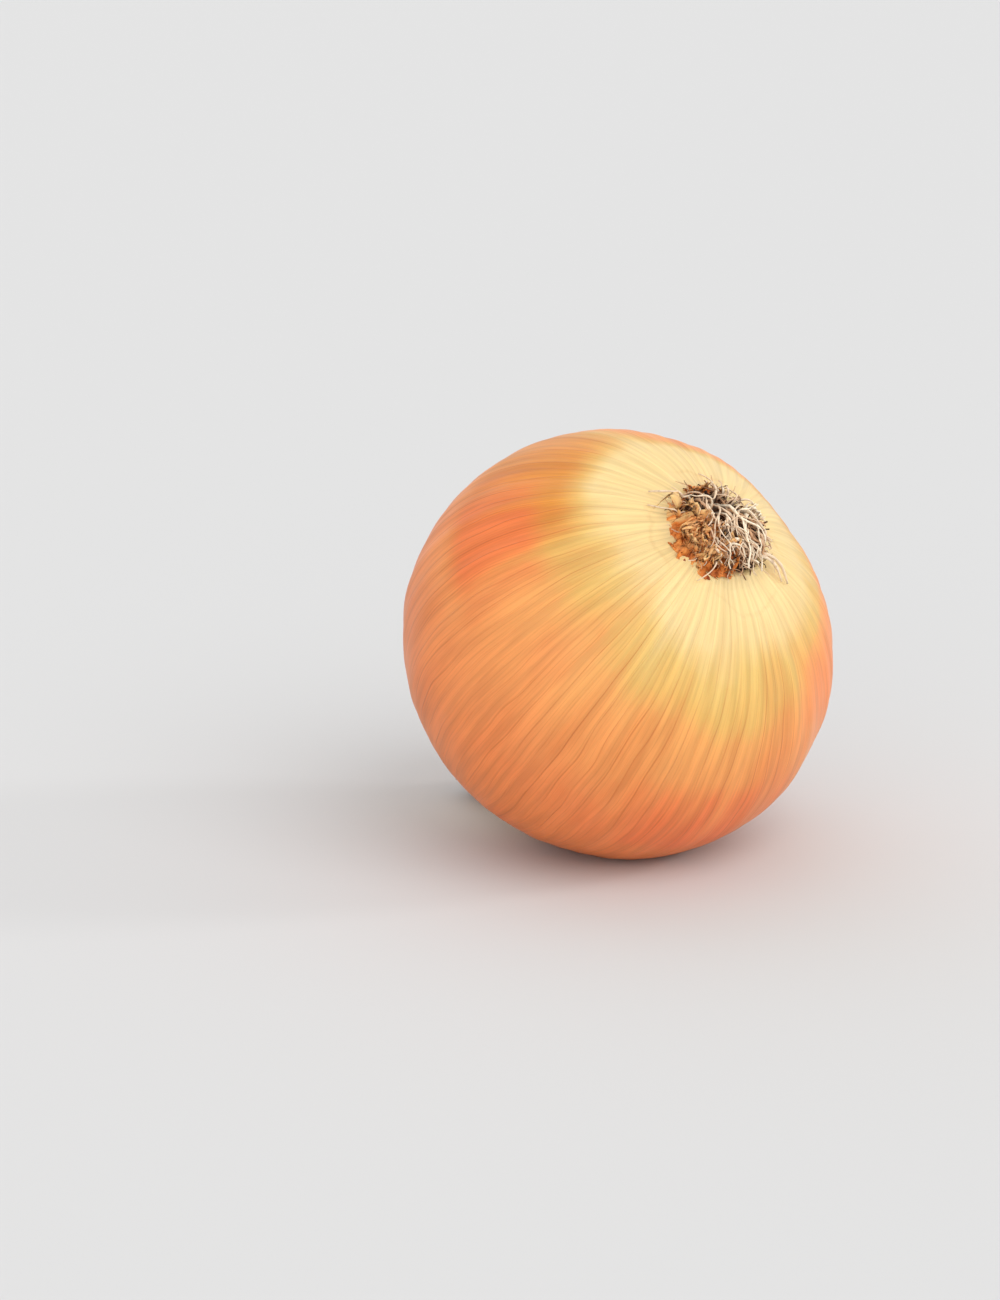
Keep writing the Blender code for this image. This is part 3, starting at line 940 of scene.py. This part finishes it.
# ------------------------------------------------------------------------------------- the dry neck
# Above the bulb the leaf bases dried to papery tubes, twisted and pressed flat together, and were cut
# short. Each tube lies round the neck inside the one before. They end in frayed, curling strips.
CUT_SLANT = 2.8 * MM  # the cut is slanted, so the neck is this much shorter on one side
CUT_LOW_SIDE = math.radians(72)
NECK_TWIST = 1.6
SHEATHS = (  # how far past the foot it ends, how deep it lies, how far it's turned, how frayed it is
    (8.6 * MM, -0.35 * MM, 0.3, 2.0 * MM),
    (10.8 * MM, -0.85 * MM, 1.4, 2.0 * MM),
    (12.0 * MM, -1.35 * MM, 2.2, 1.5 * MM),
    (12.4 * MM, -2.00 * MM, 3.1, 1.6 * MM),
    (11.6 * MM, -2.80 * MM, 4.4, 1.3 * MM),
)
STRIPS_START = 3.0  # mm past the neck's foot
LOOSE_STRIPS = (  # where it lies round the neck, in radians; its width, end and outward curl, in mm
    (0.4, 1.5, 12.6, 1.3),
    (1.3, 1.2, 8.6, 0.4),
    (2.0, 1.9, 9.2, 0.3),
    (2.9, 1.4, 11.2, 1.1),
    (3.5, 1.7, 10.4, 1.2),
    (4.3, 1.1, 12.8, 1.0),
    (5.0, 1.8, 11.6, 1.5),
    (5.8, 1.2, 13.0, 0.9),
)
STRAW_TONES = (paint(190, 126, 66), paint(228, 186, 126), paint(242, 220, 180))
STRAW_SKIN = dry_skin("straw_skin", STRAW_TONES, 0.55, paint(150, 92, 46), neck=True)


def sheath(number, end, depth, turn, fray):
    """One papery tube, from inside the bulb's skin at the neck's foot to the neck's tip."""

    def place(across, up):
        around = across * math.tau + turn
        teeth = ((4, 0.8 * fray), (11, 0.9 * fray), (34, 0.45 * fray))
        rim = jagged_ring(around, 3.7 * number, teeth)
        rim -= CUT_SLANT * np.maximum(np.cos(around - CUT_LOW_SIDE), 0) ** 2
        top, bottom = FOOT + end + rim, FOOT - 2 * MM
        along = bottom + (top - bottom) * up
        past = np.maximum(along - FOOT, 0) / NECK_LENGTH
        swirl = around + NECK_TWIST * past
        flute = ripples(swirl, along, 15 + 3 * number, 16 * MM, 10.0 * number)
        crease = ripples(swirl, along, 44, 9 * MM, 20.0 * number)
        spread = eased(past * 2.5) * ((0.7 + 0.5 * eased(past)) * flute + 0.25 * crease)
        frill = ripples(around, along, 8, 30 * MM, 30.0 * number)
        flare = eased((up - 0.6) / 0.4) * (0.1 + 1.1 * frill)
        return around, along, depth + (spread + flare) * MM, np.exp(-(top - along) / (0.35 * MM))

    made = papery_sheet(f"neck_sheath_{number}", 200, 46, place, DRY_SKIN_THICKNESS, ring=True)
    made.data.materials.append(STRAW_SKIN)
    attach(made, "root")
    return made


neck_sheaths = [sheath(number, *sizes) for number, sizes in enumerate(SHEATHS, 1)]
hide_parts("dry_neck")


def loose_strip(number, middle, width, end, curl):
    """A strip torn from a tube, narrowing to its tip, which curls away from the neck."""

    def place(across, up):
        half = width / 2 * (1 - 0.75 * up**1.5) + 0.12 * np.sin(up * 17 + number)
        swirl = middle - 0.5 * up + 0.15 * np.sin(up * 5 + number)
        around = swirl + half / (NECK_RADIUS / MM) * (2 * across - 1)
        along = FOOT + (STRIPS_START + (end - STRIPS_START) * up) * MM
        cupped = 0.35 * (2 * across - 1) ** 2
        raised = 0.35 + curl * eased((up - 0.35) / 0.65) ** 1.5 + cupped * up
        raised += 0.35 * ripples(around, along, 40, 6 * MM, 3.0 * number)
        edge = np.maximum(np.abs(2 * across - 1), up)
        return around, along, raised * MM, 0.7 * eased((edge - 0.8) / 0.2)

    strip = papery_sheet(f"neck_strip_{number}", 12, 36, place, DRY_SKIN_THICKNESS)
    strip.data.materials.append(STRAW_SKIN)
    return strip


strips = [loose_strip(number, *sizes) for number, sizes in enumerate(LOOSE_STRIPS)]
neck_strips = joined(strips, "neck_strips")
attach(neck_strips, "root")


# -------------------------------------------------------------------------- the table and the light
# A plain pale table top in a white room. A large soft lamp stands high on the right in front, a weaker
# one low in front, a small one at the right side, and another large one behind on the left.
TABLE_TONE = 0.636
ROOM_TONE = 0.775
LAMPS = (  # name, azimuth, height, spread and power; azimuth 0 is in front and 90 at the right
    ("key_lamp", 40, 45, 50, 1.1),
    ("fill_lamp", -5, 10, 70, 0.75),
    ("side_lamp", 95, 23, 10, 0.48),
    ("back_lamp", 205, 45, 60, 0.35),
)
CAMERA_DISTANCE = 0.627
CAMERA_RISE = math.radians(16)
ONION_ASIDE = Vector((20.5 * MM, 0.9 * MM, 0))  # how far right of the view's middle it lies, and above

bpy.ops.object.select_all(action="DESELECT")
bpy.ops.mesh.primitive_plane_add(size=60)
table_top = bpy.context.object
table_top.name = "table_top"
pale, _, pale_shader = new_material("pale_table")
pale_shader.inputs["Base Color"].default_value = (TABLE_TONE, TABLE_TONE, TABLE_TONE, 1)
pale_shader.inputs["Roughness"].default_value = 0.9
pale_shader.inputs["Specular IOR Level"].default_value = 0.1
table_top.data.materials.append(pale)

room = bpy.data.worlds.new("white_room")
room.use_nodes = True
room.node_tree.nodes["Background"].inputs["Color"].default_value = (ROOM_TONE, ROOM_TONE, ROOM_TONE, 1)
bpy.context.scene.world = room


def lamp(name, azimuth, height, spread, power):
    """A far, soft lamp, which is as wide as spread degrees of the sky."""
    made = bpy.data.lights.new(name, "SUN")
    made.energy = power
    made.angle = math.radians(spread)
    lit = bpy.data.objects.new(name, made)
    turn, rise = math.radians(azimuth), math.radians(height)
    away = Vector((math.sin(turn) * math.cos(rise), -math.cos(turn) * math.cos(rise), math.sin(rise)))
    lit.rotation_euler = away.to_track_quat("Z", "Y").to_euler()
    bpy.context.scene.collection.objects.link(lit)


for sizes in LAMPS:
    lamp(*sizes)

camera = bpy.data.objects.new("camera", bpy.data.cameras.new("camera"))
camera.data.lens = 100
camera.data.clip_end = 100
toward = Vector((0, -math.cos(CAMERA_RISE), math.sin(CAMERA_RISE)))
turned = toward.to_track_quat("Z", "Y")
camera.location = LYING.translation - turned @ ONION_ASIDE + toward * CAMERA_DISTANCE
camera.rotation_euler = turned.to_euler()
bpy.context.scene.collection.objects.link(camera)
bpy.context.scene.camera = camera
bpy.context.scene.view_settings.view_transform = "Standard"
